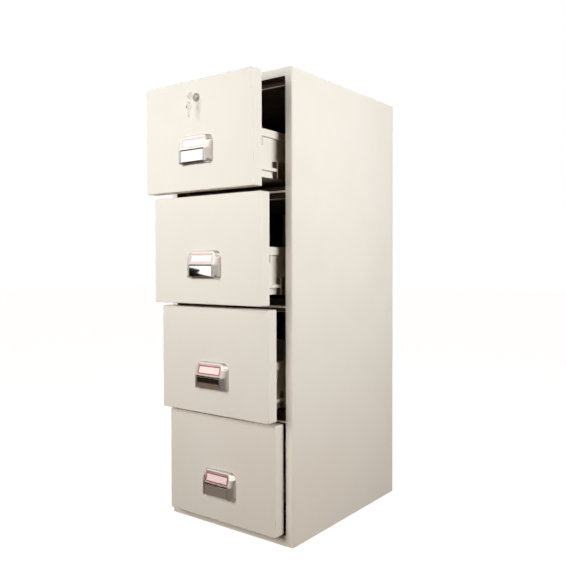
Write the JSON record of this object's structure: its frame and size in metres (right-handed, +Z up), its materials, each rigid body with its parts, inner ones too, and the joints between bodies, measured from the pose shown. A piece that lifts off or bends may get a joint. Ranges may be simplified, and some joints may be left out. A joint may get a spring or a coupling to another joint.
{
  "type": "fireproof filing cabinet",
  "caption": "Upright insulated steel filing cabinet whose drawers run out on telescopic slides, with leaning label pulls, finger flaps and a key lock on the top drawer.",
  "frame": {"origin": "centre of the base where the cabinet stands on the floor", "axes": "+X to the right seen from the front, +Y from front to back, +Z up"},
  "size_m": [0.53, 0.8519, 1.495],
  "materials": {
    "cream_paint": "fine textured powder coat",
    "brown_paint": "dark satin primer",
    "gypsum": "cast gypsum",
    "seal_rubber": "intumescent seal strip",
    "zinc_steel": "yellow zinc plate",
    "silver_paint": "satin silver",
    "bright_chrome": "mirror chrome",
    "card": "printed card",
    "lock_brass": "nickel plated brass",
    "nickel": "polished nickel"
  },
  "bodies": {
    "cabinet": {"outer_wrap": "cream_paint", "back_panel": "cream_paint", "base_pan": "cream_paint", "insulation_left": "gypsum", "insulation_right": "gypsum", "insulation_top": "gypsum", "insulation_base": "gypsum", "insulation_back": "gypsum", "divider_core_1": "gypsum", "divider_core_2": "gypsum", "divider_core_3": "gypsum", "divider_strips": "cream_paint", "bay_liner_1": "brown_paint", "bay_liner_2": "brown_paint", "bay_liner_3": "brown_paint", "bay_liner_4": "brown_paint", "bay_seals": "seal_rubber", "outer_slides": "zinc_steel", "lock_bar_guides": "zinc_steel"},
    "drawer_1": {"drawer_front_1": "cream_paint", "drawer_core_1": "gypsum", "drawer_back_plate_1": "cream_paint", "drawer_tray_1": "cream_paint", "handle_1": "silver_paint", "label_card_1": "card", "lock_barrel": "bright_chrome", "lock_bolt_case": "zinc_steel"},
    "slide_1": {"middle_slides_1": "zinc_steel"},
    "flap_1": {"handle_flap_1": "bright_chrome"},
    "drawer_2": {"drawer_front_2": "cream_paint", "drawer_core_2": "gypsum", "drawer_back_plate_2": "cream_paint", "drawer_tray_2": "cream_paint", "handle_2": "silver_paint", "label_card_2": "card"},
    "slide_2": {"middle_slides_2": "zinc_steel"},
    "flap_2": {"handle_flap_2": "bright_chrome"},
    "drawer_3": {"drawer_front_3": "cream_paint", "drawer_core_3": "gypsum", "drawer_back_plate_3": "cream_paint", "drawer_tray_3": "cream_paint", "handle_3": "silver_paint", "label_card_3": "card"},
    "slide_3": {"middle_slides_3": "zinc_steel"},
    "flap_3": {"handle_flap_3": "bright_chrome"},
    "drawer_4": {"drawer_front_4": "cream_paint", "drawer_core_4": "gypsum", "drawer_back_plate_4": "cream_paint", "drawer_tray_4": "cream_paint", "handle_4": "silver_paint", "label_card_4": "card"},
    "slide_4": {"middle_slides_4": "zinc_steel"},
    "flap_4": {"handle_flap_4": "bright_chrome"},
    "lock_turn": {"lock_plug": "lock_brass", "key": "nickel"},
    "ring": {"key_ring": "bright_chrome"},
    "spare": {"spare_key": "nickel"},
    "bolt": {"lock_bolt": "zinc_steel"},
    "gang_bar": {"lock_bar": "zinc_steel"}
  },
  "joints": [
    {"name": "drawer_1_slide", "type": "slide", "parent": "cabinet", "child": "drawer_1", "axis": [0, -1, 0], "range_m": [-0.147, 0.393]},
    {"name": "slide_1_travel", "type": "slide", "parent": "cabinet", "child": "slide_1", "axis": [0, -1, 0], "range_m": [-0.0735, 0.1965]},
    {"name": "flap_1_hinge", "type": "hinge", "parent": "drawer_1", "child": "flap_1", "pos_m": [0, -0.4964, 1.23795], "axis": [1, 0, 0], "range_deg": [-18, 0], "stiffness_Nm_per_rad": 0.5},
    {"name": "drawer_2_slide", "type": "slide", "parent": "cabinet", "child": "drawer_2", "axis": [0, -1, 0], "range_m": [-0.111, 0.429]},
    {"name": "slide_2_travel", "type": "slide", "parent": "cabinet", "child": "slide_2", "axis": [0, -1, 0], "range_m": [-0.0555, 0.2145]},
    {"name": "flap_2_hinge", "type": "hinge", "parent": "drawer_2", "child": "flap_2", "pos_m": [0, -0.4604, 0.87745], "axis": [1, 0, 0], "range_deg": [-18, 0], "stiffness_Nm_per_rad": 0.5},
    {"name": "drawer_3_slide", "type": "slide", "parent": "cabinet", "child": "drawer_3", "axis": [0, -1, 0], "range_m": [-0.077, 0.463]},
    {"name": "slide_3_travel", "type": "slide", "parent": "cabinet", "child": "slide_3", "axis": [0, -1, 0], "range_m": [-0.0385, 0.2315]},
    {"name": "flap_3_hinge", "type": "hinge", "parent": "drawer_3", "child": "flap_3", "pos_m": [0, -0.4264, 0.51695], "axis": [1, 0, 0], "range_deg": [-18, 0], "stiffness_Nm_per_rad": 0.5},
    {"name": "drawer_4_slide", "type": "slide", "parent": "cabinet", "child": "drawer_4", "axis": [0, -1, 0], "range_m": [-0.0425, 0.4975]},
    {"name": "slide_4_travel", "type": "slide", "parent": "cabinet", "child": "slide_4", "axis": [0, -1, 0], "range_m": [-0.02125, 0.24875]},
    {"name": "flap_4_hinge", "type": "hinge", "parent": "drawer_4", "child": "flap_4", "pos_m": [0, -0.3919, 0.15645], "axis": [1, 0, 0], "range_deg": [-18, 0], "stiffness_Nm_per_rad": 0.5},
    {"name": "lock_turn", "type": "hinge", "parent": "drawer_1", "child": "lock_turn", "pos_m": [0, -0.48, 1.40875], "axis": [0, 1, 0], "range_deg": [0, 90]},
    {"name": "ring_swing", "type": "hinge", "parent": "lock_turn", "child": "ring", "pos_m": [0, -0.5099, 1.40875], "axis": [1, 0, 0], "range_deg": [-25, 8]},
    {"name": "spare_swing", "type": "hinge", "parent": "ring", "child": "spare", "pos_m": [0, -0.5099, 1.38375], "axis": [1, 0, 0], "range_deg": [-25, 8]},
    {"name": "bolt_throw", "type": "slide", "parent": "drawer_1", "child": "bolt", "axis": [0, 0, 1], "range_m": [0, 0.012]},
    {"name": "gang_bar_drop", "type": "slide", "parent": "cabinet", "child": "gang_bar", "axis": [0, 0, -1], "range_m": [0, 0.012]}
  ],
  "couplings": [
    {"joint": "slide_1_travel", "follows": "drawer_1_slide", "ratio": 0.5},
    {"joint": "slide_2_travel", "follows": "drawer_2_slide", "ratio": 0.5},
    {"joint": "slide_3_travel", "follows": "drawer_3_slide", "ratio": 0.5},
    {"joint": "slide_4_travel", "follows": "drawer_4_slide", "ratio": 0.5},
    {"joint": "bolt_throw", "follows": "gang_bar_drop", "ratio": 1},
    {"joint": "lock_turn", "follows": "gang_bar_drop", "rad_per_m": 130.9}
  ]
}
